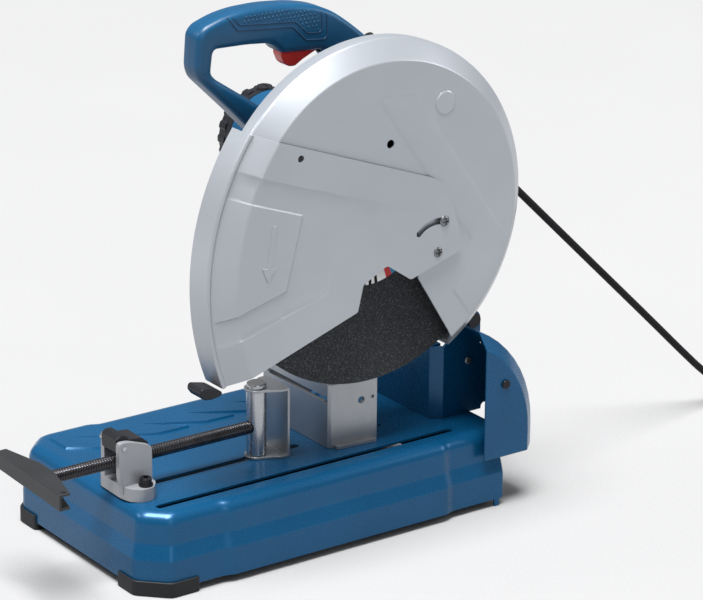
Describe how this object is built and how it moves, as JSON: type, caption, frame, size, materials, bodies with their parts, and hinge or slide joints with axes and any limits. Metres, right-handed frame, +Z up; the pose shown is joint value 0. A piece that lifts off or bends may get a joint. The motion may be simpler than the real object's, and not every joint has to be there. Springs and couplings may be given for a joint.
{
  "type": "abrasive chop saw",
  "caption": "Abrasive cut-off saw: a guarded grinding wheel and motor on a sprung arm over a pressed steel base, with a screw vise, a pivoting fence and a spark hood.",
  "frame": {"origin": "middle of the bottom of the saw without its cord, on the floor", "axes": "+X to the operator's right, +Y to the rear, +Z up"},
  "size_m": [0.2884, 1.1991, 0.5665],
  "materials": {
    "blue_paint": "gloss blue powder coat",
    "blue_plastic": "satin moulded",
    "guard_silver": "satin silver grey",
    "zinc": "zinc plated sheet",
    "cast_silver": "die cast",
    "steel": "bright turned steel",
    "dark_steel": "dark grey coated",
    "black_steel": "black oxide",
    "black_plastic": "moulded",
    "rubber": "matt",
    "red_plastic": "moulded",
    "abrasive": "bonded grit",
    "copper": "wound copper",
    "brass": "machined"
  },
  "bodies": {
    "stand": {"base_tray": "blue_paint", "foot_front_left": "rubber", "foot_front_right": "rubber", "tower": "blue_paint", "spark_hood": "blue_paint", "hood_screw": "black_steel", "pivot_shaft": "black_steel", "pivot_nut": "steel", "return_spring": "dark_steel", "depth_stop_bolt": "steel", "fence_bolt_right": "black_steel", "vise_bracket": "cast_silver", "bracket_bolt_left": "black_steel", "bracket_bolt_right": "black_steel", "lever_pin": "steel", "cord": "rubber", "cord_coil": "rubber", "cord_tail": "rubber", "plug": "rubber"},
    "head": {"arm_casting": "blue_paint", "gear_cover": "cast_silver", "motor_housing": "blue_plastic", "motor_end_cap": "black_plastic", "brush_cap": "black_plastic", "field_core": "dark_steel", "armature_bearing_front": "steel", "armature_bearing_rear": "steel", "spindle_bearing_inner": "steel", "spindle_bearing_outer": "steel", "fixed_guard": "guard_silver", "limit_screw": "steel", "cover_pivot_screw": "steel", "handle_left": "blue_plastic", "handle_right": "blue_plastic", "switch_body": "black_plastic", "strain_relief": "rubber"},
    "wheel_train": {"driven_gear": "steel", "output_spindle": "steel", "inner_flange": "steel", "outer_flange": "steel", "abrasive_wheel": "abrasive", "wheel_bolt": "dark_steel"},
    "rotor": {"armature": "copper", "motor_fan": "black_plastic", "pinion": "steel"},
    "cover": {"front_guard": "guard_silver", "lift_lug": "black_plastic"},
    "trigger_lever": {"trigger": "red_plastic"},
    "lock_on_button": {"lock_button": "black_plastic"},
    "wheel_lock": {"spindle_lock_button": "black_plastic"},
    "jaw_carrier": {"jaw_tube": "steel", "jaw_pin": "steel", "guide_nut": "steel"},
    "screw": {"vise_spindle": "black_steel", "crank_bar": "dark_steel"},
    "jaw": {"jaw_plate": "zinc"},
    "release_lever": {"quick_release_lever": "black_plastic", "half_nut": "brass"},
    "fence_body": {"fence": "zinc", "fence_bolt_left": "black_steel"}
  },
  "joints": [
    {"name": "head_swing", "type": "hinge", "parent": "stand", "child": "head", "pos_m": [0.00945, 0.2467, 0.191], "axis": [1, 0, 0], "range_deg": [0, 30], "stiffness_Nm_per_rad": 20, "springref_deg": -91.67},
    {"name": "wheel_spin", "type": "hinge", "parent": "head", "child": "wheel_train", "pos_m": [0.10545, 0.0857, 0.344], "axis": [1, 0, 0], "continuous": true},
    {"name": "rotor_spin", "type": "hinge", "parent": "head", "child": "rotor", "pos_m": [0.00945, 0.0668, 0.39565], "axis": [1, 0, 0], "continuous": true},
    {"name": "cover_swing", "type": "hinge", "parent": "head", "child": "cover", "pos_m": [0.13295, 0.1532, 0.302], "axis": [1, 0, 0], "range_deg": [-59, 0]},
    {"name": "trigger_pull", "type": "hinge", "parent": "head", "child": "trigger_lever", "pos_m": [0.03945, 0.0677, 0.52], "axis": [1, 0, 0], "range_deg": [-9, 0], "stiffness_Nm_per_rad": 0.6, "springref_deg": 8.59},
    {"name": "lock_on_press", "type": "slide", "parent": "head", "child": "lock_on_button", "axis": [1, 0, 0], "range_m": [0, 0.003], "stiffness_N_per_m": 400, "springref_m": -0.002},
    {"name": "wheel_lock_press", "type": "slide", "parent": "head", "child": "wheel_lock", "axis": [1, 0, 0], "range_m": [0, 0.0035], "stiffness_N_per_m": 400, "springref_m": -0.003},
    {"name": "vise_travel", "type": "slide", "parent": "stand", "child": "jaw_carrier", "axis": [0, 1, 0], "range_m": [-0.1111, 0.0331]},
    {"name": "spindle_turn", "type": "hinge", "parent": "jaw_carrier", "child": "screw", "pos_m": [0.04945, -0.2877, 0.12], "axis": [0, 1, 0], "range_deg": [-13320, 3960]},
    {"name": "jaw_swivel", "type": "hinge", "parent": "jaw_carrier", "child": "jaw", "pos_m": [0.04945, -0.0143, 0.12], "axis": [0, 0, 1], "range_deg": [-45, 45]},
    {"name": "release_tilt", "type": "hinge", "parent": "stand", "child": "release_lever", "pos_m": [0.04945, -0.1879, 0.141], "axis": [1, 0, 0], "range_deg": [0, 70]},
    {"name": "fence_angle", "type": "hinge", "parent": "stand", "child": "fence_body", "pos_m": [0.05545, 0.0817, 0.086], "axis": [0, 0, 1], "range_deg": [-45, 0]}
  ],
  "couplings": [
    {"joint": "rotor_spin", "follows": "wheel_spin", "ratio": -5.875},
    {"joint": "cover_swing", "follows": "head_swing", "ratio": -1.9667},
    {"joint": "vise_travel", "follows": "spindle_turn", "m_per_rad": 0.00047746}
  ]
}
